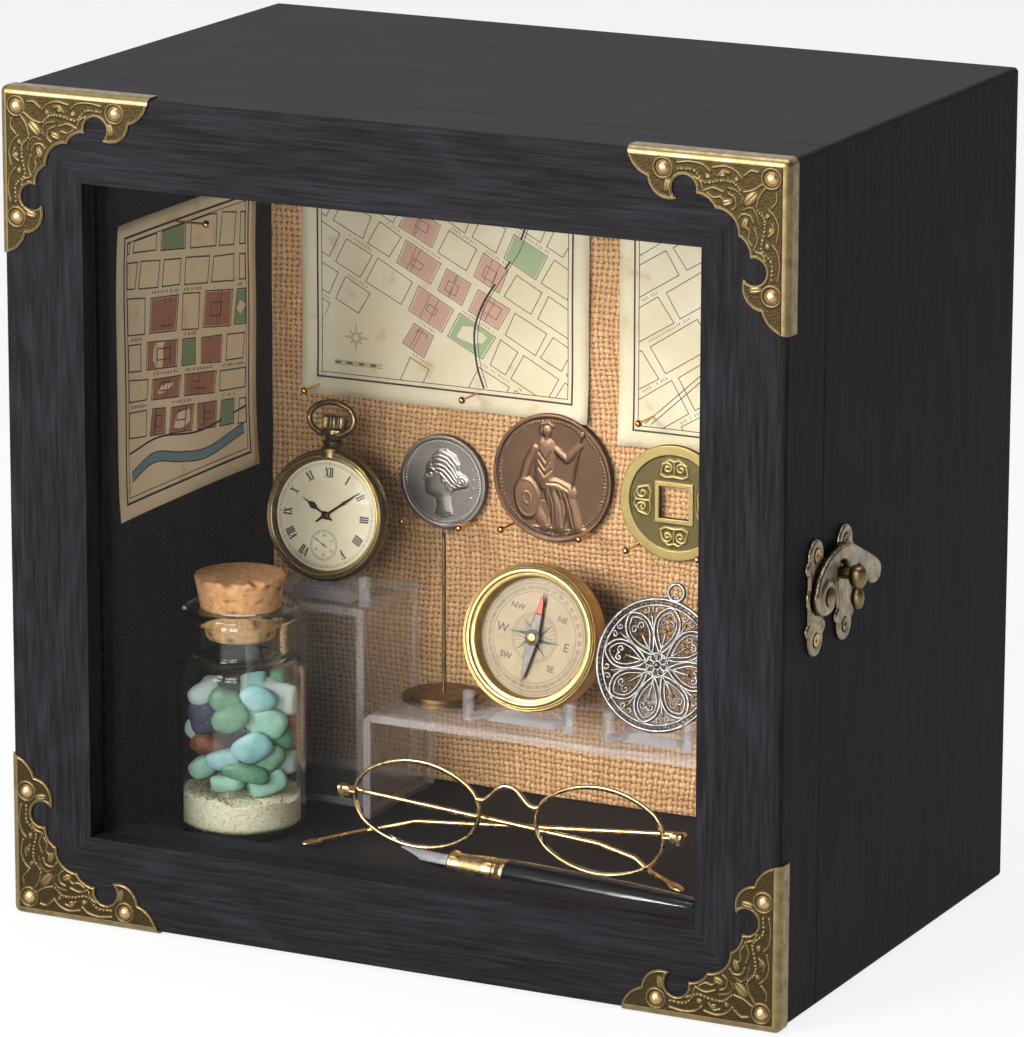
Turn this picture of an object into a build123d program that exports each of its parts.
from build123d import *
import math
import os

# A shadow box frame: a deep mitred case with a hinged glass door, brass corners and a hook latch,
# holding a small collection in front of a burlap pin board. Millimetres. +X is right seen from the
# front, +Y runs from the door to the back, +Z is up. The origin is the middle of the footprint, on
# the plane that the felt under the case stands on.

# Case and door
case_width = 305.0
case_height = 305.0
case_depth = 203.0
board_thickness = 18.0
door_thickness = 32.0
door_face = 32.0
door_gap = 0.4
outer_edge_round = 1.8
felt_thickness = 1.2
felt_inset = 6.0

# Back of the case, from the rear forwards
back_panel_thickness = 6.0
back_panel_rabbet = 9.0
batten_depth = 20.0
batten_width = 15.0
pin_board_thickness = 12.0
lining_thickness = 1.0
panel_clearance = 0.3

# Glazing
glass_thickness = 3.0
glass_setback = 9.0
glass_rabbet = 6.0
glass_clearance = 0.3
bead_depth = 11.5

# Hinges
hinge_height = 26.0
hinge_leaf_width = 12.0
hinge_leaf_thickness = 1.2
hinge_knuckle_radius = 2.8
hinge_pin_radius = 1.2
hinge_axis_offset = 3.2
hinge_end_distance = 72.0
hinge_running_gap = 0.4
running_clearance = 0.05

# Screws and nails
screw_head_radius = 2.3
screw_head_depth = 1.3
screw_shank_radius = 1.0
screw_length = 9.0
screw_slot_width = 0.5
nail_head_radius = 2.4
nail_head_height = 1.3
nail_shank_radius = 0.8
nail_length = 9.0

# Brass corners
corner_thickness = 0.8
corner_leg = 59.6
corner_flange = 6.4
corner_overshoot = 5.0

# Latch, on the right side
latch_plate_thickness = 1.6
latch_plate_height = 42.0
latch_plate_width = 12.0
latch_boss_radius = 6.9
latch_lobe_radius = 2.8
latch_lobe_rise = 11.0
latch_height = 149.2
hook_pivot_from_door_back = 3.6
hook_standoff = 0.4
hook_thickness = 2.2
hook_boss_radius = 5.7
hook_boss_thickness = 3.2
rivet_radius = 2.2
rivet_shank_radius = 1.5
rivet_head_radius = 3.4
rivet_head_height = 1.2
rivet_depth = 12.0
post_radius = 2.2
post_behind_pivot = 16.6
post_above_pivot = 4.6
post_knob_radius = 3.3
post_tail_length = 12.0
catch_plate_behind_post = 4.6

# Jar, cork, sand and sea glass
jar_radius = 24.0
jar_wall = 2.0
jar_base = 2.6
jar_foot_round = 5.0
jar_body_height = 62.0
jar_neck_base = 70.0
jar_neck_radius = 17.8
jar_mouth_radius = 15.1
jar_lip_radius = 21.9
jar_lip_height = 5.0
jar_height = 86.0
cork_top_radius = 17.1
cork_bottom_radius = 12.6
cork_length = 24.0
cork_depth_in_neck = 12.0
sand_depth = 14.0
pebble_length = 15.0
pebble_height = 10.2
pebble_thickness = 5.0
pebble_gap = 0.4
pebbles_per_ring = 6
pebble_rings = 4
core_pebble_width = 24.0
core_pebble_thickness = 7.0
core_pebbles = 6

# Risers and easels
acrylic = 3.0
tall_riser_width = 50.0
tall_riser_depth = 44.5
tall_riser_height = 77.0
long_riser_length = 150.0
long_riser_depth = 52.0
long_riser_height = 40.5
long_riser_from_lining = 4.0
riser_bend = 1.0
easel_bar_width = 3.6
easel_bar_height = 2.2
easel_hook_height = 11.0
easel_hook_thickness = 2.4
easel_plate_thickness = 2.4
easel_plate_rise = 8.0
easel_plate_top_width = 12.0
easel_reach = 24.0
easel_convergence = 0.65
seat_clearance = 0.2

# Pocket watch; heights are from the middle plane of its case, towards the viewer
watch_radius = 25.0
watch_lean = 9.6
watch_rest = 5.7
watch_hook_half_spacing = 20.6
watch_front = 1.4
watch_girth = -2.6
watch_back = -9.0
watch_back_radius = 18.0
watch_bezel_radius = 23.4
watch_crystal_radius = 21.8
watch_crystal_seat = 0.3
watch_crystal_edge = 0.7
watch_crystal_rise = 1.8
watch_crystal_wall = 1.0
watch_dial_radius = 20.7
watch_dial_seat = -1.7
watch_dial_thickness = 0.5
watch_arbor_radius = 0.35
seconds_arbor_radius = 0.25
sub_dial_drop = 11.2
watch_neck_radius = 3.1
watch_neck_top = 32.3
watch_stem_radius = 1.2
watch_crown_base = 32.6
watch_crown_radius = 4.6
watch_crown_height = 5.4
crown_flutes = 18
crown_flute_radius = 0.45
bow_centre_height = 36.5
bow_half_width = 9.5
bow_half_height = 6.2
bow_wire = 1.15
bow_open_angle = 67.7
bow_pin_radius = 0.6
bow_pin_bite = 0.9
watch_hours = 10
watch_minutes = 9
watch_seconds = 50
hour_hand_length = 11.5
hour_hand_height = -0.8
minute_hand_length = 17.0
minute_hand_height = -0.38
seconds_hand_length = 4.6
seconds_hand_height = -1.1
hand_thickness = 0.22
seconds_hand_thickness = 0.2

# Compass; heights are from the plane of its crystal seat
compass_radius = 27.6
compass_lean = 12.0
compass_roll = -10.0
compass_rest = 2.4
compass_hook_half_spacing = 20.8
compass_front = 2.0
compass_back = -10.0
compass_edge = 1.6
compass_bezel_width = 3.3
compass_dial_radius = 22.0
compass_dial_seat = -4.6
compass_dial_thickness = 0.6
compass_crystal_radius = 24.1
compass_crystal_seat = 0.2
compass_crystal_thickness = 0.9
compass_crystal_ledge = 1.3
needle_half_length = 17.5
needle_half_width = 2.2
needle_thickness = 0.4
needle_height = -2.6
needle_hub_radius = 3.0
needle_hub_thickness = 1.2
needle_pivot_radius = 0.5
needle_pivot_top = -1.2

# Pendant
pendant_radius = 25.0
pendant_thickness = 2.2
pendant_rim = 2.2
pendant_hub_radius = 4.2
pendant_petals = 8
pendant_petal_half_width = 4.3
pendant_strand = 1.3
pendant_scroll_radius = 3.0
pendant_ring_outer = 3.9
pendant_ring_inner = 2.4
pendant_ring_rise = 2.6
pendant_lean = 12.0
pendant_roll = -10.0
pendant_rest = 4.1
pendant_hook_half_spacing = 16.0

# Coins and coin stand
coin_thickness = 2.4
coin_rim_width = 1.4
coin_rim_height = 0.35
silver_coin_diameter = 36.0
bronze_coin_diameter = 49.0
square_hole_coin_diameter = 44.0
square_hole_size = 12.0
coin_pin_angle = 40.0
stand_base_radius = 16.0
stand_base_thickness = 2.2
stand_base_step = 6.0
stand_rod_radius = 0.75
stand_arm_drop = 4.4

# Spectacles
rim_half_width = 25.7
rim_half_height = 16.4
rim_end_radius = 12.3
rim_wire = 0.75
lens_thickness = 1.8
lens_clearance = 0.05
lens_spacing = 74.4
bridge_rise = 11.0
bridge_start_rise = 5.4
end_piece_rise = 1.0
end_piece_length = 5.5
end_piece_setback = 1.0
barrel_radius = 1.6
barrel_height = 4.4
temple_wire = 1.0
temple_bend = 3.0
temple_hinge_bend = 1.4
left_temple_setback = 4.6
right_temple_setback = 7.2
temple_tip_radius = 2.2
temple_tip_length = 9.0

# Pen, with its axis along +X from the tip
pen_length = 127.0
pen_angle = -6.3
pen_barrel_radius = 5.75
pen_barrel_end_radius = 4.6
pen_barrel_start = 46.5
pen_section_radius = 5.4
pen_grip_radius = 4.4
pen_nib_length = 22.0
pen_nib_radius = 2.9
pen_nib_wall = 0.4
pen_nib_bite = 5.0
pen_feed_radius = 2.3
pen_feed_setback = 6.0

# Pins and maps
pin_shank_radius = 0.45
pin_head_radius = 1.4
pin_stand_out = 13.0
pin_bite = 8.0
paper_thickness = 0.4
paper_gap = 0.1

# Places of the displayed pieces. The first number is the distance from the left board's outer face.
jar_across = 53.1
tall_riser_right_place = 81.0
long_riser_left_place = 86.8
spectacles_across = 159.9
spectacles_behind_middle = 12.2

# Here the second number is the distance in front of the lining
watch_place = (58.5, 38.7)
compass_place = (146.0, 43.9)
pendant_place = (200.0, 46.5)
stand_place = (103.6, 23.0)

# Here it is the distance behind the door's front face
pen_tip_place = (129.0, 57.9)

# Here it is the height above the underside of the case
silver_coin_place = (92.8, 136.3)
bronze_coin_place = (138.6, 142.8)
square_hole_coin_place = (188.7, 138.8)
back_map_pin_places = ((39.4, 167.9), (106.1, 171.3), (178.9, 170.3))
left_map_pin_place = (59.6, 241.8)

# Maps: gaps to what is beside them, and lower and upper edges above the underside of the case
left_map_front_gap = 15.0
left_map_back_gap = 13.0
left_map_edges = (137.5, 248.0)
centre_map_left_gap = 14.0
centre_map_width = 120.5
centre_map_edges = (164.5, 256.0)
right_map_left_gap = 12.5
right_map_right_gap = 15.0
right_map_edges = (158.3, 250.0)

# Temples' routes, as steps from the middle of the bridge; the second is from where the temple lies
right_temple_route = ((-19.0, 0.0, -7.0), (-41.0, 0.0, -9.0), (-61.0, -1.5, -15.0), (-72.0, -23.2, -15.0))
left_temple_route = ((35.0, 0.0, -6.3), (50.0, -0.6, -9.5), (57.0, -2.8, -13.2), (70.0, -9.6, -15.0))

# Planes and lines that the pieces share
left_face = -case_width / 2
right_face = case_width / 2
front_face = -case_depth / 2
rear_face = case_depth / 2
underside = felt_thickness
top_face = underside + case_height
middle_height = underside + case_height / 2
seam = front_face + door_thickness
door_back = seam - door_gap
inner_left = left_face + board_thickness
inner_right = right_face - board_thickness
inner_floor = underside + board_thickness
inner_ceiling = top_face - board_thickness
back_panel_front = rear_face - back_panel_thickness
battens_front = back_panel_front - batten_depth
pin_board_front = battens_front - pin_board_thickness
lining_front = pin_board_front - lining_thickness
centre_map_left = inner_left + centre_map_left_gap
centre_map_right = centre_map_left + centre_map_width
right_map_left = centre_map_right + right_map_left_gap
right_map_right = inner_right - right_map_right_gap


# Shapes that many pieces use


def block(x0, x1, y0, y1, z0, z1):
    """Box between three pairs of limits."""
    return Pos((x0 + x1) / 2, (y0 + y1) / 2, (z0 + z1) / 2) * Box(x1 - x0, y1 - y0, z1 - z0)


def polygon(*points):
    """Flat face inside straight lines."""
    return make_face(Polyline(*points, close=True))


def from_front(outline, near, far):
    """Solid whose outline is drawn in X and Z, from y = near to y = far."""
    return extrude(Plane.XZ.offset(-near) * outline, -(far - near))


def from_right(outline, inside, outside):
    """Solid whose outline is drawn in Y and Z, from x = inside to x = outside."""
    return extrude(Plane.YZ.offset(inside) * outline, outside - inside)


def raised(outline, low, high):
    """Solid whose outline is drawn in X and Y, from z = low to z = high."""
    return extrude(Plane.XY.offset(low) * outline, high - low)


def turned(*points):
    """Solid turned about Z from a closed outline of (radius, height) points."""
    return revolve(Plane.XZ * polygon(*points), Axis.Z)


def rod(start, end, radius):
    """Round bar between two points."""
    run = Vector(*end) - Vector(*start)
    bar = Cylinder(radius, run.length, align=(Align.CENTER, Align.CENTER, Align.MIN))
    return Plane(origin=start, z_dir=run) * bar


def wire_along(path, radius):
    """Round wire along a path."""
    return sweep(Plane(origin=path @ 0, z_dir=path % 0) * Circle(radius), path)


def cap(radius, base, rise):
    """Part of a ball that stands on z = base, with its rim at that radius."""
    ball_radius = (radius**2 + rise**2) / (2 * rise)
    ball = Pos(0, 0, base + rise - ball_radius) * Sphere(ball_radius)
    return ball & block(-radius, radius, -radius, radius, base, base + rise)


def facing(point, direction):
    """Place at a point with Z along a direction."""
    return Plane(origin=point, z_dir=direction).location


def leaning(x, y, z, lean, roll=0.0):
    """Place of a piece that leans back: its Z faces the door, its Y points up."""
    tilt = math.radians(lean)
    upright = Plane(origin=(x, y, z), x_dir=(1, 0, 0), z_dir=(0, -math.cos(tilt), math.sin(tilt)))
    return upright.location * Rot(0, 0, roll)


def fused(pieces):
    """One solid from pieces that overlap."""
    whole = pieces[0]
    for piece in pieces[1:]:
        whole = whole + piece
    return whole


def mitred_sides(outer_inset, inner_inset, near, far):
    """Four mitred strips round the case's outline."""
    ox, oz = left_face + outer_inset, underside + outer_inset
    px, pz = right_face - outer_inset, top_face - outer_inset
    ix, iz = left_face + inner_inset, underside + inner_inset
    jx, jz = right_face - inner_inset, top_face - inner_inset
    outlines = {
        "top": ((ox, pz), (px, pz), (jx, jz), (ix, jz)),
        "bottom": ((ox, oz), (px, oz), (jx, iz), (ix, iz)),
        "left": ((ox, oz), (ox, pz), (ix, jz), (ix, iz)),
        "right": ((px, oz), (px, pz), (jx, jz), (jx, iz)),
    }
    return {side: from_front(polygon(*points), near, far) for side, points in outlines.items()}


def rounded_block(near, far, growth, rounded_end):
    """Block of the case's outline with its long edges and one end rounded."""
    blank = block(
        left_face - growth, right_face + growth, near, far, underside - growth, top_face + growth
    )
    end_face = blank.faces().sort_by(Axis.Y)[rounded_end]
    edges = blank.edges().filter_by(Axis.Y) + end_face.edges()
    return fillet(edges, outer_edge_round + growth)


# Screws, nails and where they go


def screw():
    """Countersunk screw along -Z with its head's face at z = 0."""
    head = turned(
        (0, 0), (screw_head_radius, 0), (screw_shank_radius, -screw_head_depth), (0, -screw_head_depth)
    )
    shank = rod((0, 0, -screw_length), (0, 0, 0), screw_shank_radius)
    slot = Box(2 * screw_shank_radius + screw_slot_width, screw_slot_width, screw_head_depth)
    return head + shank - slot - Rot(0, 0, 90) * slot


def screw_hole():
    """Countersunk hole for one screw."""
    head = turned(
        (0, running_clearance),
        (screw_head_radius + 2 * running_clearance, running_clearance),
        (screw_shank_radius, -screw_head_depth - running_clearance),
        (0, -screw_head_depth - running_clearance),
    )
    depth = screw_length + running_clearance
    return head + rod((0, 0, -depth), (0, 0, 0), screw_shank_radius + running_clearance)


def nail():
    """Round-headed nail along -Z, its head standing on z = 0."""
    shank = rod((0, 0, -nail_length), (0, 0, 0), nail_shank_radius)
    return cap(nail_head_radius, 0, nail_head_height) + shank


def nail_hole():
    """Hole for one nail."""
    depth = nail_length + running_clearance
    return rod((0, 0, -depth), (0, 0, depth), nail_shank_radius + running_clearance)


hinge_axis = (left_face - hinge_axis_offset, seam - door_gap / 2)
hinge_bottoms = (underside + hinge_end_distance - hinge_height / 2,
                 top_face - hinge_end_distance - hinge_height / 2)
latch_level = underside + latch_height
hook_pivot = (door_back - hook_pivot_from_door_back, latch_level)
post_axis = (hook_pivot[0] + post_behind_pivot, latch_level + post_above_pivot)
latch_plate_y = door_back - latch_boss_radius - running_clearance
catch_plate_y = post_axis[0] + catch_plate_behind_post


def hinge_screw_places(side):
    """Screw places of the case's leaves (side 1) or the door's leaves (side -1)."""
    face = left_face - hinge_leaf_thickness
    across = hinge_axis[1] + side * (hinge_knuckle_radius + hinge_leaf_width) / 2
    rises = (hinge_height * 0.2, hinge_height * 0.8)
    return [facing((face, across, low + rise), (-1, 0, 0)) for low in hinge_bottoms for rise in rises]


def latch_screw_places(y):
    """Screw places at both ends of a latch plate."""
    face = right_face + latch_plate_thickness
    reach = (latch_plate_height - latch_plate_width) / 2
    return [facing((face, y, latch_level + rise), (1, 0, 0)) for rise in (-reach, reach)]


def back_screw_places():
    """Screw places round the back panel, over the boards' shoulders."""
    inset = (back_panel_rabbet + board_thickness) / 2
    sides = (left_face + inset, right_face - inset)
    heights = (underside + case_height / 5, middle_height, top_face - case_height / 5)
    return [facing((x, rear_face, z), (0, 1, 0)) for x in sides for z in heights]


corner_nails = ((6.1, 6.1), (46.2, 5.7), (5.7, 46.2))
corner_signs = {
    "upper_left_corner": (-1, 1),
    "upper_right_corner": (1, 1),
    "lower_left_corner": (-1, -1),
    "lower_right_corner": (1, -1),
}


def corner_nail_places():
    """Nail places of all four corners, on the outside of their brass."""
    face = front_face - corner_thickness
    return [
        facing(
            (sx * (case_width / 2 - along), face, middle_height + sz * (case_height / 2 - down)),
            (0, -1, 0),
        )
        for sx, sz in corner_signs.values()
        for along, down in corner_nails
    ]


case_screw_places = hinge_screw_places(1) + latch_screw_places(catch_plate_y) + back_screw_places()
door_screw_places = hinge_screw_places(-1) + latch_screw_places(latch_plate_y)
case_screw_holes = [place * screw_hole() for place in case_screw_places]
door_screw_holes = [place * screw_hole() for place in door_screw_places]
corner_nail_holes = [place * nail_hole() for place in corner_nail_places()]

# Coins, and the pins that carry them and the maps

coin_sizes = {
    "silver_coin": (silver_coin_place, silver_coin_diameter / 2),
    "bronze_coin": (bronze_coin_place, bronze_coin_diameter / 2),
    "square_hole_coin": (square_hole_coin_place, square_hole_coin_diameter / 2),
}


coin_middle = lining_front - paper_gap - paper_thickness - seat_clearance - coin_thickness / 2


def back_pin_places():
    """Places of the pins in the pin board, with Z out towards their heads."""
    points = []
    for (across, up), radius in coin_sizes.values():
        reach = radius + pin_shank_radius + seat_clearance
        for side in (-1, 1):
            swing = math.radians(coin_pin_angle) * side
            points.append((across + reach * math.sin(swing), up - reach * math.cos(swing)))
    points.extend(back_map_pin_places)
    return [facing((left_face + x, lining_front, underside + z), (0, -1, 0)) for x, z in points]


def left_pin_place():
    """Place of the pin in the left board."""
    behind_seam, up = left_map_pin_place
    return facing((inner_left, seam + behind_seam, underside + up), (1, 0, 0))


def brass_pin():
    """Pin with its head out along Z."""
    shank = rod((0, 0, -pin_bite), (0, 0, pin_stand_out), pin_shank_radius)
    return shank + Pos(0, 0, pin_stand_out) * Sphere(pin_head_radius)


def pin_hole():
    """Hole for one pin."""
    depth = pin_bite + running_clearance
    return rod((0, 0, -depth), (0, 0, pin_stand_out), pin_shank_radius + running_clearance)


back_pin_holes = [place * pin_hole() for place in back_pin_places()]
left_pin_hole = left_pin_place() * pin_hole()


def coin(name):
    """Disc with a raised rim on both faces, standing on its pins in front of the maps."""
    (across, up), radius = coin_sizes[name]
    body = Cylinder(radius, coin_thickness)
    field = Cylinder(radius - coin_rim_width, coin_rim_height)
    for side in (-1, 1):
        body = body - Pos(0, 0, side * (coin_thickness - coin_rim_height) / 2) * field
    if name == "square_hole_coin":
        rim = square_hole_size + 2 * coin_rim_width
        body = body + Box(rim, rim, coin_thickness) - Box(square_hole_size, square_hole_size, coin_thickness)
    return facing((left_face + across, coin_middle, underside + up), (0, -1, 0)) * body


# Case


def case_boards():
    """Four mitred boards with a rear rabbet, drilled for screws and one pin."""
    fronts = mitred_sides(0, board_thickness, seam, back_panel_front)
    rears = mitred_sides(0, back_panel_rabbet, back_panel_front, rear_face)
    blank = rounded_block(seam, rear_face, 0, -1)
    boards = {}
    for side in fronts:
        board = (fronts[side] + rears[side]) & blank
        boards["case_" + side] = board - case_screw_holes - left_pin_hole
    return boards


def back_panel():
    """Plywood back in the rear rabbet."""
    inset = back_panel_rabbet + panel_clearance
    panel = block(
        left_face + inset, right_face - inset, back_panel_front, rear_face,
        underside + inset, top_face - inset,
    )
    return panel - case_screw_holes


def battens():
    """Two upright strips that hold the pin board forward of the back panel."""
    lefts = (inner_left + panel_clearance, inner_right - panel_clearance - batten_width)
    low = inner_floor + panel_clearance
    high = inner_ceiling - panel_clearance
    return [block(x, x + batten_width, battens_front, back_panel_front, low, high) for x in lefts]


def inner_sheet(near, far):
    """Sheet that fills the inside of the case, pierced by the pins."""
    sheet = block(
        inner_left + panel_clearance, inner_right - panel_clearance, near, far,
        inner_floor + panel_clearance, inner_ceiling - panel_clearance,
    )
    return sheet - back_pin_holes


def felt_base():
    """Felt sheet under the case."""
    return block(
        left_face + felt_inset, right_face - felt_inset, seam + felt_inset, rear_face - felt_inset,
        0, felt_thickness,
    )


# Hinges


def hinge_leaf(low, side):
    """Leaf and knuckles: side 1 on the case with two knuckles, side -1 on the door with one."""
    third = hinge_height / 3
    if side == 1:
        spans = ((low, low + third), (low + 2 * third, low + hinge_height))
    else:
        spans = ((low + third + hinge_running_gap, low + 2 * third - hinge_running_gap),)
    x, y = hinge_axis
    face = left_face - hinge_leaf_thickness
    near, far = sorted((y + side * hinge_knuckle_radius, y + side * hinge_leaf_width))
    leaf = block(face, left_face, near, far, low, low + hinge_height)
    near, far = sorted((y, y + side * (hinge_knuckle_radius + hinge_leaf_thickness)))
    for bottom, top in spans:
        knuckle = rod((x, y, bottom), (x, y, top), hinge_knuckle_radius)
        leaf = leaf + block(face, left_face, near, far, bottom, top) + knuckle
    bore = rod((x, y, low - 1), (x, y, low + hinge_height + 1), hinge_pin_radius + running_clearance)
    return leaf - bore - case_screw_holes - door_screw_holes


def hinge_pin(low):
    """Pin with a ball at each end."""
    x, y = hinge_axis
    ball_radius = hinge_pin_radius * 1.5
    bottom = low - ball_radius
    top = low + hinge_height + ball_radius
    ball = Sphere(ball_radius)
    pin = rod((x, y, bottom), (x, y, top), hinge_pin_radius)
    return pin + Pos(x, y, bottom) * ball + Pos(x, y, top) * ball


# Door


def door_sides():
    """Four mitred rails and stiles with a rabbet behind the lip, drilled for nails and screws."""
    lip_back = front_face + glass_setback
    lips = mitred_sides(0, door_face, front_face, lip_back)
    rears = mitred_sides(0, door_face - glass_rabbet, lip_back, door_back)
    blank = rounded_block(front_face, door_back, 0, 0)
    names = {"top": "door_top_rail", "bottom": "door_bottom_rail",
             "left": "door_left_stile", "right": "door_right_stile"}
    rivet_hole = rod(
        (right_face - rivet_depth, *hook_pivot), (right_face, *hook_pivot),
        rivet_shank_radius + running_clearance,
    )
    sides = {}
    for side, name in names.items():
        piece = (lips[side] + rears[side]) & blank
        sides[name] = piece - corner_nail_holes - door_screw_holes - rivet_hole
    return sides


def door_glass():
    """Pane in the rabbet."""
    inset = door_face - glass_rabbet + glass_clearance
    near = front_face + glass_setback
    return block(
        left_face + inset, right_face - inset, near, near + glass_thickness,
        underside + inset, top_face - inset,
    )


def glazing_beads():
    """Mitred beads that hold the pane, flush with the opening."""
    near = front_face + glass_setback + glass_thickness
    return list(mitred_sides(door_face - glass_rabbet, door_face, near, near + bead_depth).values())


def corner_outline():
    """One corner's outline, with its right angle at the origin and its legs along +X and +Y."""
    half = [
        (corner_leg, 0), (corner_leg - 2.2, 5.4), (corner_leg - 7.8, 9.2), (48.6, 14.9), (41.2, 15.9),
        (41.6, 8.8), (33.9, 13.6), (29.4, 14.8), (26.6, 18.0),
    ]
    mirrored = [(y, x) for x, y in reversed(half)]
    points = half + [(20.4, 20.4)] + mirrored
    arcs = [ThreePointArc(*points[k:k + 3]) for k in range(0, len(points) - 2, 2)]
    far = -corner_overshoot
    closing = Polyline((0, corner_leg), (far, corner_leg), (far, far), (corner_leg, far), (corner_leg, 0))
    return make_face(arcs + [closing])


def brass_corners():
    """Four corners cut from one thin shell that hugs the door's rounded edges."""
    flange_back = front_face + corner_flange
    outer = rounded_block(front_face - corner_thickness, flange_back, corner_thickness, 0)
    shell = outer - rounded_block(front_face, door_back, 0, 0)
    cutter = extrude(corner_outline(), corner_flange + corner_overshoot)
    corners = {}
    for name, (sx, sz) in corner_signs.items():
        origin = (sx * case_width / 2, flange_back, middle_height + sz * case_height / 2)
        place = Plane(origin=origin, x_dir=(-sx, 0, 0), z_dir=(0, -1, 0)).location
        tool = cutter if sx * sz > 0 else mirror(cutter, about=Plane.XZ)
        corners[name] = (shell & (place * tool)) - corner_nail_holes
    return corners


# Latch


def latch_plate_blank(y):
    """Long plate with round ends, a round boss and small side lobes."""
    middle = Pos(y, latch_level)
    outline = middle * SlotOverall(latch_plate_height, latch_plate_width, rotation=90)
    outline = outline + middle * Circle(latch_boss_radius)
    for rise in (-latch_lobe_rise, latch_lobe_rise):
        for side in (-1, 1):
            lobe = Circle(latch_lobe_radius)
            outline = outline + Pos(y + side * latch_plate_width / 2 - side, latch_level + rise) * lobe
    return from_right(outline, right_face, right_face + latch_plate_thickness)


def side_rod(centre, inside, outside, radius):
    """Round bar out of the right side, between two distances from its face."""
    return rod((right_face + inside, *centre), (right_face + outside, *centre), radius)


def latch_plate():
    """Door-side plate that carries the rivet."""
    hole = side_rod(hook_pivot, -1, latch_plate_thickness + 1, rivet_shank_radius + running_clearance)
    return latch_plate_blank(latch_plate_y) - hole - door_screw_holes


def catch_plate():
    """Case-side plate that carries the post."""
    hole = side_rod(post_axis, -1, latch_plate_thickness + 1, post_radius + running_clearance)
    return latch_plate_blank(catch_plate_y) - hole - case_screw_holes


hook_inside = latch_plate_thickness + hook_standoff
hook_outside = hook_inside + hook_thickness
hook_boss_outside = hook_inside + hook_boss_thickness
rivet_head_base = hook_boss_outside + hook_standoff / 2


def latch_rivet():
    """Rivet that the hook swings on."""
    shank = side_rod(hook_pivot, running_clearance - rivet_depth, latch_plate_thickness, rivet_shank_radius)
    bearing = side_rod(hook_pivot, latch_plate_thickness, rivet_head_base, rivet_radius)
    dome = facing((right_face + rivet_head_base, *hook_pivot), (1, 0, 0)) * cap(
        rivet_head_radius, 0, rivet_head_height
    )
    return shank + bearing + dome


def latch_hook():
    """Curved hook with a notch over the post, its points measured from the pivot."""
    outer = Spline(
        (-8.5, 1.3), (-4.5, 8.8), (5.0, 13.8), (18.5, 15.0), (31.5, 9.8), (42.5, 4.4),
        (46.6, 0.4), (45.0, -3.8), (39.5, -4.6), (33.8, -1.6),
    )
    beak = Spline((33.8, -1.6), (30.6, 3.4), (26.0, 5.8), (23.8, 2.4))
    tooth = Line((23.8, 2.4), (21.2, 4.4))
    arch = Spline((21.2, 4.4), (17.6, 8.2), (13.5, 10.1), (9.6, 9.2), (8.2, 4.8), (8.2, -0.6))
    boss = ThreePointArc((8.2, -0.6), (0.4, -7.0), (-8.5, 1.3))
    outline = Pos(*hook_pivot) * make_face([outer, beak, tooth, arch, boss])
    arm = from_right(outline, right_face + hook_inside, right_face + hook_outside)
    disc = side_rod(hook_pivot, hook_inside, hook_boss_outside, hook_boss_radius)
    bore = side_rod(hook_pivot, hook_inside - 1, hook_boss_outside + 1, rivet_radius + running_clearance)
    return arm + disc - bore


def catch_post():
    """Neck under the hook and an acorn knob with a tail, outside it."""
    radius = post_knob_radius
    knob_axis = hook_outside + hook_standoff + radius
    tail = post_tail_length
    profile = make_face([
        Line((0, radius), (0, -tail)),
        Line((0, -tail), (radius * 0.4, -tail)),
        Spline((radius * 0.4, -tail), (radius * 0.6, 1.2 - tail), (radius * 0.45, -radius * 1.5)),
        Spline((radius * 0.45, -radius * 1.5), (radius, 0), (0, radius), tangents=[(1, 1), (-1, 0)]),
    ])
    y, z = post_axis
    knob = Pos(right_face + knob_axis, y, z) * revolve(Plane.XZ * profile, Axis.Z)
    return knob + side_rod(post_axis, running_clearance, knob_axis, post_radius)


# Jar


def jar_frame():
    """Place of the jar on the floor, halfway between the door and the tall riser."""
    return Pos(left_face + jar_across, (door_back + tall_riser_front) / 2, inner_floor)


def glass_jar():
    """Jar with a rounded foot, a shoulder, a short neck and a rolled lip."""
    lip_base = jar_height - jar_lip_height
    lip_inner = jar_lip_radius - jar_lip_height / 3
    bore = jar_radius - jar_wall
    round_inside = jar_foot_round - jar_wall
    outside = [
        Line((0, 0), (jar_radius - jar_foot_round, 0)),
        JernArc((jar_radius - jar_foot_round, 0), (1, 0), jar_foot_round, 90),
        Line((jar_radius, jar_foot_round), (jar_radius, jar_body_height)),
        Spline((jar_radius, jar_body_height), (jar_neck_radius, jar_neck_base), tangents=[(0, 1), (0, 1)]),
        Line((jar_neck_radius, jar_neck_base), (jar_neck_radius, lip_base)),
        Line((jar_neck_radius, lip_base), (lip_inner, lip_base)),
        ThreePointArc((lip_inner, lip_base), (jar_lip_radius, lip_base + jar_lip_height / 2),
                      (lip_inner, jar_height)),
        Line((lip_inner, jar_height), (jar_mouth_radius, jar_height)),
    ]
    inside = [
        Line((jar_mouth_radius, jar_height), (jar_mouth_radius, jar_neck_base)),
        Spline((jar_mouth_radius, jar_neck_base), (bore, jar_body_height), tangents=[(0, -1), (0, -1)]),
        Line((bore, jar_body_height), (bore, jar_base + round_inside)),
        JernArc((bore, jar_base + round_inside), (0, -1), round_inside, -90),
        Line((bore - round_inside, jar_base), (0, jar_base)),
        Line((0, jar_base), (0, 0)),
    ]
    return jar_frame() * revolve(Plane.XZ * make_face(outside + inside), Axis.Z)


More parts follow.
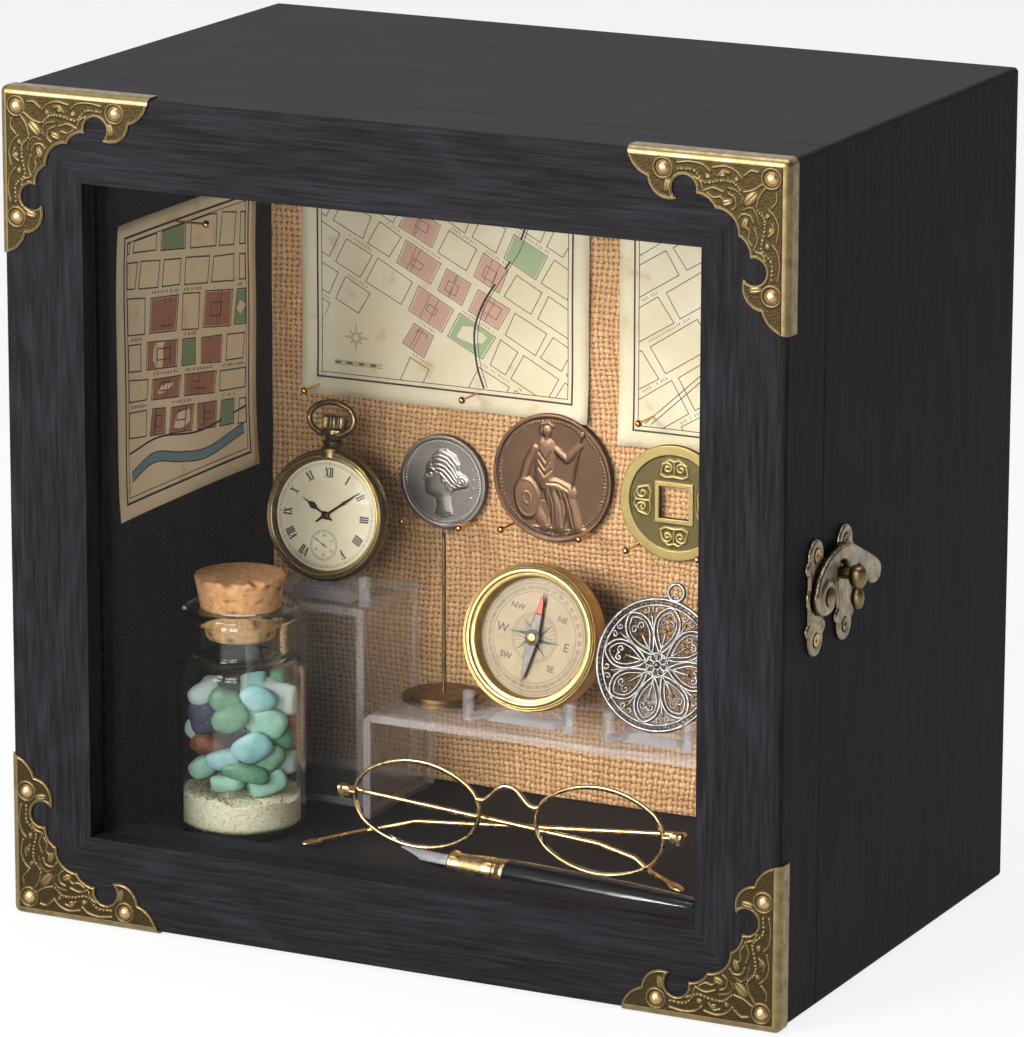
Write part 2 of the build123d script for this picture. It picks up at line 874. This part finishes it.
def jar_sand():
    """Sand that fills the foot of the jar."""
    bore = jar_radius - jar_wall
    round_inside = jar_foot_round - jar_wall
    profile = turned(
        (0, jar_base), (bore - round_inside, jar_base), (bore - seat_clearance, jar_base + round_inside),
        (bore - seat_clearance, jar_base + sand_depth), (0, jar_base + sand_depth),
    )
    return jar_frame() * profile


def sea_glass():
    """Tumbled pieces: rings standing against the wall and a loose stack in the middle."""
    floor = jar_base + sand_depth + pebble_gap
    ring_pitch = pebble_height + pebble_gap
    ring_radius = jar_radius - jar_wall - pebble_thickness / 2 - pebble_gap
    standing = scale(Sphere(0.5), by=(pebble_thickness, pebble_length, pebble_height))
    core = scale(Sphere(0.5), by=(core_pebble_width, core_pebble_width * 0.9, core_pebble_thickness))
    pebbles = []
    for ring in range(pebble_rings):
        lift = floor + pebble_height / 2 + ring * ring_pitch
        for k in range(pebbles_per_ring):
            turn = 360 / pebbles_per_ring * (k + ring / 2)
            pebbles.append(Rot(0, 0, turn) * (Pos(ring_radius, 0, lift) * standing))
    for k in range(core_pebbles):
        lift = floor + core_pebble_thickness / 2 + k * (core_pebble_thickness + pebble_gap)
        pebbles.append(Pos(0, 0, lift) * (Rot(0, 0, 50 * k) * core))
    return [jar_frame() * pebble for pebble in pebbles]


def jar_cork():
    """Tapered cork, pushed part of the way into the neck."""
    low = jar_height - cork_depth_in_neck
    high = low + cork_length
    return jar_frame() * turned((0, low), (cork_bottom_radius, low), (cork_top_radius, high), (0, high))


# Risers and easels

tall_riser_back = lining_front - panel_clearance
tall_riser_front = tall_riser_back - tall_riser_depth
long_riser_front = lining_front - long_riser_from_lining - long_riser_depth
tall_riser_top = inner_floor + tall_riser_height
long_riser_top = inner_floor + long_riser_height


def tall_riser():
    """Clear box of five glued sheets, open below: a top, a front and a back between two sides."""
    right = left_face + tall_riser_right_place
    left = right - tall_riser_width
    front = tall_riser_front
    under_top = tall_riser_top - acrylic
    return [
        block(left, right, front, tall_riser_back, under_top, tall_riser_top),
        block(left, left + acrylic, front, tall_riser_back, inner_floor, under_top),
        block(right - acrylic, right, front, tall_riser_back, inner_floor, under_top),
        block(left + acrylic, right - acrylic, front, front + acrylic, inner_floor, under_top),
        block(left + acrylic, right - acrylic, tall_riser_back - acrylic, tall_riser_back,
              inner_floor, under_top),
    ]


def long_riser():
    """Clear sheet bent into a low bridge."""
    outer = RectangleRounded(long_riser_length, 2 * long_riser_height, riser_bend + acrylic)
    inner = RectangleRounded(long_riser_length - 2 * acrylic, 2 * (long_riser_height - acrylic), riser_bend)
    upper = Pos(0, long_riser_height / 2) * Rectangle(long_riser_length, long_riser_height)
    middle = left_face + long_riser_left_place + long_riser_length / 2
    bridge = Pos(middle, inner_floor) * ((outer - inner) & upper)
    return from_front(bridge, long_riser_front, long_riser_front + long_riser_depth)


def disc_place(place, base, rest, radius, front, girth, lean, roll=0.0):
    """Place of a disc that leans in an easel, with its widest ring down on the easel's rest."""
    across, to_lining = place
    tilt = math.radians(lean)
    y = lining_front - to_lining + seat_clearance + radius * math.sin(tilt) + front * math.cos(tilt)
    z = base + rest + seat_clearance + radius * math.cos(tilt) - girth * math.sin(tilt)
    return leaning(left_face + across, y, z, lean, roll)


def easel(place, base, rest, half_spacing, radius, back, disc):
    """Clear easel: two hooked bars, a rest between them and a plate that leans with the disc."""
    across, to_lining = place
    x = left_face + across
    hook_y = lining_front - to_lining
    tail = half_spacing * (1 - easel_convergence)
    pieces = []
    for side in (-1, 1):
        start = Vector(x + side * half_spacing, hook_y - easel_hook_thickness, base)
        run = Vector(x + side * tail, hook_y + easel_reach, base) - start
        bar = Box(run.length, easel_bar_width, easel_bar_height,
                  align=(Align.MIN, Align.CENTER, Align.MIN))
        pieces.append(Plane(origin=start, x_dir=run, z_dir=(0, 0, 1)).location * bar)
        middle = start.X
        pieces.append(block(
            middle - easel_bar_width / 2, middle + easel_bar_width / 2,
            hook_y - easel_hook_thickness, hook_y, base, base + easel_hook_height,
        ))
    half_rest = half_spacing * (1 - easel_convergence / 2)
    depth = easel_reach / 2
    pieces.append(block(
        x - half_rest, x + half_rest, hook_y + seat_clearance, hook_y + depth, base, base + rest
    ))
    plate_top = easel_plate_rise
    half_top = easel_plate_top_width / 2
    foot = -2 * radius
    outline = polygon((-half_rest, foot), (half_rest, foot), (half_top, plate_top), (-half_top, plate_top))
    face = back - seat_clearance
    plate = disc * raised(outline, face - easel_plate_thickness, face)
    above = block(x - radius, x + radius, hook_y, rear_face, base, base + 3 * radius)
    pieces.append(plate & above)
    return fused(pieces)


watch_frame = disc_place(
    watch_place, tall_riser_top, watch_rest, watch_radius, watch_front, watch_girth, watch_lean
)
compass_frame = disc_place(
    compass_place, long_riser_top, compass_rest, compass_radius, compass_front,
    compass_back, compass_lean,
)
pendant_frame = disc_place(
    pendant_place, long_riser_top, pendant_rest, pendant_radius, pendant_thickness / 2,
    -pendant_thickness / 2, pendant_lean,
)


def display_easels():
    """Three easels, under the watch, the compass and the pendant."""
    return [
        easel(watch_place, tall_riser_top, watch_rest, watch_hook_half_spacing, watch_radius,
              watch_back, watch_frame),
        easel(compass_place, long_riser_top, compass_rest, compass_hook_half_spacing, compass_radius,
              compass_back, compass_frame),
        easel(pendant_place, long_riser_top, pendant_rest, pendant_hook_half_spacing, pendant_radius,
              -pendant_thickness / 2, pendant_frame),
    ]


# Pocket watch

watch_dial_face = watch_dial_seat + watch_dial_thickness
bow_tilt = math.radians(bow_open_angle)
bow_end_x = bow_half_width * math.cos(bow_tilt)
bow_end_y = bow_centre_height - bow_half_height * math.sin(bow_tilt)


def watch_case():
    """Case with its bezel, neck, stem and fluted crown."""
    seat_radius = watch_crystal_radius + running_clearance
    ledge_radius = watch_dial_radius + seat_clearance
    body = revolve(Plane.XZ * make_face([
        Line((0, watch_back), (watch_back_radius, watch_back)),
        Spline((watch_back_radius, watch_back), (watch_radius, watch_girth), tangents=[(1, 0), (0, 1)]),
        Spline((watch_radius, watch_girth), (watch_bezel_radius, watch_front), tangents=[(0, 1), (-1, 1)]),
        Polyline(
            (watch_bezel_radius, watch_front), (seat_radius, watch_front),
            (seat_radius, watch_crystal_seat), (ledge_radius, watch_crystal_seat),
            (ledge_radius, watch_dial_seat), (0, watch_dial_seat), (0, watch_back),
        ),
    ]), Axis.Z)
    neck = rod((0, watch_bezel_radius, watch_girth / 2), (0, watch_neck_top, 0), watch_neck_radius)
    crown_top = watch_crown_base + watch_crown_height
    crown = rod((0, watch_crown_base, 0), (0, crown_top, 0), watch_crown_radius)
    for k in range(crown_flutes):
        turn = math.tau * k / crown_flutes
        x, z = watch_crown_radius * math.sin(turn), watch_crown_radius * math.cos(turn)
        crown = crown - rod((x, watch_crown_base, z), (x, crown_top, z), crown_flute_radius)
    stem = rod((0, watch_bezel_radius, 0), (0, crown_top - 1, 0), watch_stem_radius)
    bow_hole_radius = bow_pin_radius + running_clearance
    bow_hole = rod((-watch_radius, bow_end_y, 0), (watch_radius, bow_end_y, 0), bow_hole_radius)
    return watch_frame * (body + (neck - bow_hole) + stem + crown)


def watch_dial():
    """Dial with the arbors of the hands."""
    dial = raised(Circle(watch_dial_radius), watch_dial_seat, watch_dial_face)
    arbor = rod((0, 0, watch_dial_seat), (0, 0, minute_hand_height + hand_thickness), watch_arbor_radius)
    small_top = seconds_hand_height + seconds_hand_thickness
    small = rod((0, -sub_dial_drop, watch_dial_seat), (0, -sub_dial_drop, small_top), seconds_arbor_radius)
    return watch_frame * (dial + arbor + small)


def watch_crystal():
    """Domed crystal of even thickness."""
    edge = raised(Circle(watch_crystal_radius), 0, watch_crystal_edge)
    dome = cap(watch_crystal_radius, watch_crystal_edge, watch_crystal_rise)
    rise = watch_crystal_edge + watch_crystal_rise - watch_crystal_wall
    hollow = cap(watch_crystal_radius - watch_crystal_wall, 0, rise)
    return watch_frame * (Pos(0, 0, watch_crystal_seat) * (edge + dome - hollow))


def watch_bow():
    """Oval bow that swings on two short pins in the neck."""
    path = EllipticalCenterArc(
        (0, bow_centre_height), bow_half_width, bow_half_height,
        start_angle=-bow_open_angle, arc_size=180 + 2 * bow_open_angle,
    )
    ring = wire_along(path, bow_wire)
    inner, outer = watch_neck_radius - bow_pin_bite, bow_end_x + bow_pin_radius
    pins = [rod((side * inner, bow_end_y, 0), (side * outer, bow_end_y, 0), bow_pin_radius)
            for side in (-1, 1)]
    return watch_frame * fused([ring] + pins)


def watch_hand(length, width, low, thickness, arbor, turn):
    """Tapered hand on a hub, turned clockwise by an angle."""
    hub = arbor + running_clearance
    blade = polygon((-width, 0), (0, -3 * width), (width, 0), (width * 0.7, length * 0.72), (0, length),
                    (-width * 0.7, length * 0.72))
    outline = blade + Circle(2.6 * hub) - Circle(hub)
    return Rot(0, 0, -turn) * raised(outline, low, low + thickness)


def watch_hands():
    """Hour, minute and seconds hands, set to one time."""
    minutes = watch_minutes + watch_seconds / 60
    hours = watch_hours + minutes / 60
    seconds = watch_hand(seconds_hand_length, 0.35, seconds_hand_height, seconds_hand_thickness,
                         seconds_arbor_radius, 6 * watch_seconds)
    return {
        "watch_hour_hand": watch_frame * watch_hand(
            hour_hand_length, 0.9, hour_hand_height, hand_thickness, watch_arbor_radius, 30 * hours
        ),
        "watch_minute_hand": watch_frame * watch_hand(
            minute_hand_length, 0.7, minute_hand_height, hand_thickness, watch_arbor_radius, 6 * minutes
        ),
        "watch_seconds_hand": watch_frame * (Pos(0, -sub_dial_drop, 0) * seconds),
    }


# Compass

compass_dial_face = compass_dial_seat + compass_dial_thickness


def compass_case():
    """Drum with a rounded rim and a sloping flange inside it."""
    seat_radius = compass_crystal_radius + running_clearance
    dial_wall = compass_dial_radius + running_clearance
    return compass_frame * turned(
        (0, compass_back), (compass_radius - compass_edge, compass_back),
        (compass_radius, compass_back + compass_edge), (compass_radius, compass_front - compass_edge),
        (compass_radius - compass_edge / 2, compass_front),
        (compass_radius - compass_bezel_width + compass_edge / 2, compass_front),
        (seat_radius, compass_crystal_seat + compass_crystal_thickness), (seat_radius, compass_crystal_seat),
        (seat_radius - compass_crystal_ledge, compass_crystal_seat), (dial_wall, compass_dial_face),
        (dial_wall, compass_dial_seat), (0, compass_dial_seat),
    )


def compass_dial():
    """Dial with the needle's pivot."""
    dial = raised(Circle(compass_dial_radius), compass_dial_seat, compass_dial_face)
    pivot = rod((0, 0, compass_dial_seat), (0, 0, needle_pivot_top), needle_pivot_radius)
    return compass_frame * (dial + pivot)


def compass_crystal():
    """Flat crystal on its ledge."""
    top = compass_crystal_seat + compass_crystal_thickness
    return compass_frame * raised(Circle(compass_crystal_radius), compass_crystal_seat, top)


def compass_needle():
    """Lozenge needle with a thicker hub on the pivot."""
    lozenge = polygon(
        (0, -needle_half_length), (needle_half_width, 0), (0, needle_half_length), (-needle_half_width, 0)
    )
    blade = raised(lozenge, needle_height, needle_height + needle_thickness)
    hub_low = needle_height + (needle_thickness - needle_hub_thickness) / 2
    hub = raised(Circle(needle_hub_radius), hub_low, hub_low + needle_hub_thickness)
    bore_radius = needle_pivot_radius + running_clearance
    bore = rod((0, 0, compass_dial_face), (0, 0, compass_crystal_seat), bore_radius)
    return compass_frame * (Rot(0, 0, compass_roll) * (blade + hub - bore))


# Pendant


def filigree_pendant():
    """Openwork disc: a rim, petals round a hub, scrolls between them and a ring at the top."""
    inner = pendant_radius - pendant_rim
    outline = Circle(pendant_radius) - Circle(inner) + Circle(pendant_hub_radius)
    petal_middle = (pendant_hub_radius + inner) / 2
    half_length = (inner - pendant_hub_radius) / 2 + pendant_strand / 2
    scroll_middle = inner + pendant_strand / 2 - pendant_scroll_radius
    strand = pendant_strand
    for k in range(pendant_petals):
        turn = 360 * k / pendant_petals
        petal = Ellipse(pendant_petal_half_width, half_length)
        petal = petal - Ellipse(pendant_petal_half_width - strand, half_length - strand)
        outline = outline + Rot(0, 0, turn) * (Pos(0, petal_middle) * petal)
        scroll = Circle(pendant_scroll_radius) - Circle(pendant_scroll_radius - strand)
        outline = outline + Rot(0, 0, turn + 180 / pendant_petals) * (Pos(0, scroll_middle) * scroll)
    ring = Circle(pendant_ring_outer) - Circle(pendant_ring_inner)
    outline = outline + Pos(0, pendant_radius + pendant_ring_rise) * ring
    half = pendant_thickness / 2
    return pendant_frame * (Rot(0, 0, pendant_roll) * raised(outline, -half, half))


# Coin stand


def coin_stand():
    """Stepped base and a wire that bends back under the silver coin."""
    across, to_lining = stand_place
    x, y = left_face + across, lining_front - to_lining
    base_top = long_riser_top + stand_base_thickness
    base = rod((x, y, long_riser_top), (x, y, base_top - stand_base_thickness / 2), stand_base_radius)
    step = rod((x, y, long_riser_top), (x, y, base_top), stand_base_radius - stand_base_step / 2)
    (coin_across, coin_up), coin_radius = coin_sizes["silver_coin"]
    tip_z = underside + coin_up - coin_radius - seat_clearance - stand_rod_radius
    tip = (left_face + coin_across, coin_middle, tip_z)
    path = FilletPolyline(
        (x, y, base_top - 1), (x, y, tip_z + stand_arm_drop), tip, radius=3 * stand_rod_radius
    )
    return base + step + wire_along(path, stand_rod_radius)


# Spectacles


def spectacle_frame_place():
    """Middle of the bridge, with the rims standing on the floor, between the door and the long riser."""
    y = (door_back + long_riser_front) / 2 + spectacles_behind_middle
    z = inner_floor + rim_half_height + rim_wire + seat_clearance / 2
    return left_face + spectacles_across, y, z


def oval_edges(inset):
    """Oval of four arcs in the rims' shape, drawn in by an inset."""
    across = rim_half_width - rim_end_radius
    side_radius = (across**2 + rim_half_height**2 - rim_end_radius**2) / 2
    side_radius = side_radius / (rim_half_height - rim_end_radius)
    down = side_radius - rim_half_height
    turn = math.degrees(math.atan2(down, across))
    end_radius, long_radius = rim_end_radius - inset, side_radius - inset
    return [
        CenterArc((across, 0), end_radius, -turn, 2 * turn),
        CenterArc((0, -down), long_radius, turn, 180 - 2 * turn),
        CenterArc((-across, 0), end_radius, 180 - turn, 2 * turn),
        CenterArc((0, down), long_radius, 180 + turn, 180 - 2 * turn),
    ]


def spectacle_front():
    """Wire rims, bridge, end pieces and hinge barrels."""
    x, y, z = spectacle_frame_place()
    half = lens_spacing / 2
    pieces = []
    for side in (-1, 1):
        upright = Plane(origin=(x + side * half, y, z), z_dir=(0, -1, 0), x_dir=(1, 0, 0)).location
        pieces.append(wire_along(upright * Wire(oval_edges(0)), rim_wire))
    arch = [(-1.0, bridge_start_rise), (-0.66, bridge_start_rise + 0.6), (-0.24, bridge_rise),
            (0.24, bridge_rise), (0.66, bridge_start_rise + 0.6), (1.0, bridge_start_rise)]
    inner_reach = half - rim_half_width + rim_end_radius
    inner_reach = inner_reach - math.sqrt(rim_end_radius**2 - bridge_start_rise**2)
    bridge = Spline(*[(x + u * inner_reach, y, z + rise) for u, rise in arch])
    pieces.append(wire_along(bridge, temple_wire))
    for side in (-1, 1):
        rim_end = x + side * (half + rim_half_width - rim_wire / 2)
        barrel_x = x + side * (half + rim_half_width + end_piece_length)
        barrel_y = y + end_piece_setback
        level = z + end_piece_rise
        low, high = level - barrel_height / 2, level + barrel_height / 2
        pieces.append(rod((rim_end, y, level), (barrel_x, barrel_y, level), temple_wire))
        pieces.append(rod((barrel_x, barrel_y, low), (barrel_x, barrel_y, high), barrel_radius))
    return fused(pieces)


def spectacle_temple(*path_points):
    """Bent wire with a flattened tip; the first point is at the hinge barrel."""
    radii = [temple_hinge_bend] + [temple_bend] * (len(path_points) - 3)
    path = FilletPolyline(*path_points, radius=radii)
    tip = Plane(origin=path @ 1, z_dir=path % 1).location
    paddle = scale(Sphere(1), by=(temple_wire * 1.1, temple_tip_radius, temple_tip_length / 2))
    return wire_along(path, temple_wire) + tip * (Rot(0, 0, 90) * paddle)


def spectacle_frame():
    """Front and its two temples, folded behind the lenses; the right one lies behind the left."""
    x, y, z = spectacle_frame_place()
    barrel_x = lens_spacing / 2 + rim_half_width + end_piece_length
    start = y + end_piece_setback + barrel_radius + seat_clearance / 2
    level = z + end_piece_rise
    back = y + right_temple_setback
    right_temple = spectacle_temple(
        (x + barrel_x, start, level), (x + barrel_x, back, level),
        *[(x + across, back + aside, z + up) for across, aside, up in right_temple_route],
    )
    back = y + left_temple_setback
    left_temple = spectacle_temple(
        (x - barrel_x, start, level), (x - barrel_x, back, level),
        *[(x + across, back + aside, z + up) for across, aside, up in left_temple_route],
    )
    return [spectacle_front(), right_temple, left_temple]


def spectacle_lenses():
    """Two oval lenses inside the rims."""
    x, y, z = spectacle_frame_place()
    shape = make_face(oval_edges(rim_wire + lens_clearance))
    near = y - lens_thickness / 2
    return [from_front(Pos(x + side * lens_spacing / 2, z) * shape, near, near + lens_thickness)
            for side in (-1, 1)]


# Pen


def pen_frame():
    """Place of the pen on the floor, with its axis along its own X from the nib's tip."""
    across, back = pen_tip_place
    z = inner_floor + pen_barrel_radius + seat_clearance / 2
    return Pos(left_face + across, front_face + back, z) * Rot(0, 0, pen_angle)


def fountain_pen():
    """Barrel, section and feed, turned about the pen's axis."""
    section_end = pen_barrel_start
    grip_start = pen_nib_length
    profile = make_face([
        Polyline((0, grip_start), (pen_grip_radius, grip_start), (pen_grip_radius + 0.6, grip_start + 1)),
        Spline((pen_grip_radius + 0.6, grip_start + 1), (pen_grip_radius, grip_start + 4),
               (pen_section_radius - 0.3, section_end - 6), (pen_section_radius, section_end)),
        Line((pen_section_radius, section_end), (pen_barrel_radius, section_end)),
        Line((pen_barrel_radius, section_end), (pen_barrel_radius, pen_length * 0.7)),
        Spline((pen_barrel_radius, pen_length * 0.7), (pen_barrel_end_radius, pen_length - 2),
               tangents=[(0, 1), (-0.12, 1)]),
        Polyline((pen_barrel_end_radius, pen_length - 2), (pen_barrel_end_radius - 1.4, pen_length),
                 (0, pen_length), (0, grip_start)),
    ])
    barrel = revolve(Plane.XZ * profile, Axis.Z)
    socket = rod((0, 0, grip_start), (0, 0, grip_start + pen_nib_bite), pen_nib_radius + running_clearance)
    feed = turned(
        (0, pen_feed_setback), (pen_feed_radius * 0.3, pen_feed_setback),
        (pen_feed_radius, pen_feed_setback * 2), (pen_feed_radius, grip_start + pen_nib_bite),
        (0, grip_start + pen_nib_bite),
    )
    return pen_frame() * (Rot(0, 90, 0) * (barrel - socket + feed))


def pen_nib():
    """Rolled nib over the feed, cut to a pointed plan with a slit and a breather hole."""
    tube = rod((0, 0, 0), (pen_nib_length + pen_nib_bite, 0, 0), pen_nib_radius)
    tube = tube - rod((0, 0, 0), (pen_nib_length + pen_nib_bite, 0, 0), pen_nib_radius - pen_nib_wall)
    reach = pen_nib_length + pen_nib_bite
    half = pen_nib_radius
    plan = make_face([
        Spline((0, -0.3), (pen_nib_length * 0.3, -half * 0.72), (pen_nib_length * 0.62, -half),
               (reach, -half)),
        Polyline((reach, -half), (reach, half)),
        Spline((reach, half), (pen_nib_length * 0.62, half), (pen_nib_length * 0.3, half * 0.72), (0, 0.3)),
        Line((0, 0.3), (0, -0.3)),
    ])
    upper = extrude(plan, pen_nib_radius)
    hole = rod((pen_nib_length * 0.55, 0, 0), (pen_nib_length * 0.55, 0, pen_nib_radius + 1), 0.6)
    slit = block(0, pen_nib_length * 0.55, -0.08, 0.08, 0, pen_nib_radius + 1)
    return pen_frame() * ((tube & upper) - hole - slit)


# Maps


def left_map():
    """Sheet on the left board."""
    low, high = left_map_edges
    x = inner_left + paper_gap
    y0, y1 = seam + left_map_front_gap, lining_front - left_map_back_gap
    return block(x, x + paper_thickness, y0, y1, underside + low, underside + high) - left_pin_hole


def back_map(x0, x1, edges):
    """Sheet in front of the lining."""
    low, high = edges
    y = lining_front - paper_gap
    return block(x0, x1, y - paper_thickness, y, underside + low, underside + high) - back_pin_holes


# All the nodes

nodes = {
    **case_boards(),
    "back_panel": back_panel(),
    "pin_board_battens": battens(),
    "pin_board": inner_sheet(pin_board_front, battens_front),
    "burlap_lining": inner_sheet(lining_front, pin_board_front),
    "felt_base": felt_base(),
    "case_hinge_leaves": [hinge_leaf(low, 1) for low in hinge_bottoms],
    "door_hinge_leaves": [hinge_leaf(low, -1) for low in hinge_bottoms],
    "hinge_pins": [hinge_pin(low) for low in hinge_bottoms],
    "case_screws": [place * screw() for place in case_screw_places],
    **door_sides(),
    "door_glass": door_glass(),
    "glazing_beads": glazing_beads(),
    **brass_corners(),
    "door_screws_and_nails": (
        [place * screw() for place in door_screw_places] + [place * nail() for place in corner_nail_places()]
    ),
    "latch_plate": latch_plate(),
    "latch_rivet": latch_rivet(),
    "latch_hook": latch_hook(),
    "catch_plate": catch_plate(),
    "catch_post": catch_post(),
    "glass_jar": glass_jar(),
    "jar_sand": jar_sand(),
    "sea_glass": sea_glass(),
    "jar_cork": jar_cork(),
    "tall_riser": tall_riser(),
    "long_riser": long_riser(),
    "display_easels": display_easels(),
    "watch_case": watch_case(),
    "watch_dial": watch_dial(),
    "watch_crystal": watch_crystal(),
    "watch_bow": watch_bow(),
    **watch_hands(),
    "compass_case": compass_case(),
    "compass_dial": compass_dial(),
    "compass_crystal": compass_crystal(),
    "compass_needle": compass_needle(),
    "filigree_pendant": filigree_pendant(),
    **{name: coin(name) for name in coin_sizes},
    "coin_stand": coin_stand(),
    "spectacle_frame": spectacle_frame(),
    "spectacle_lenses": spectacle_lenses(),
    "fountain_pen": fountain_pen(),
    "pen_nib": pen_nib(),
    "left_map": left_map(),
    "centre_map": back_map(centre_map_left, centre_map_right, centre_map_edges),
    "right_map": back_map(right_map_left, right_map_right, right_map_edges),
    "brass_pins": [place * brass_pin() for place in back_pin_places() + [left_pin_place()]],
}

os.makedirs("parts", exist_ok=True)
for name, shape in nodes.items():
    solids = shape if isinstance(shape, list) else shape.solids()
    export_step(solids[0] if len(solids) == 1 else Compound(children=solids), f"parts/{name}.step")
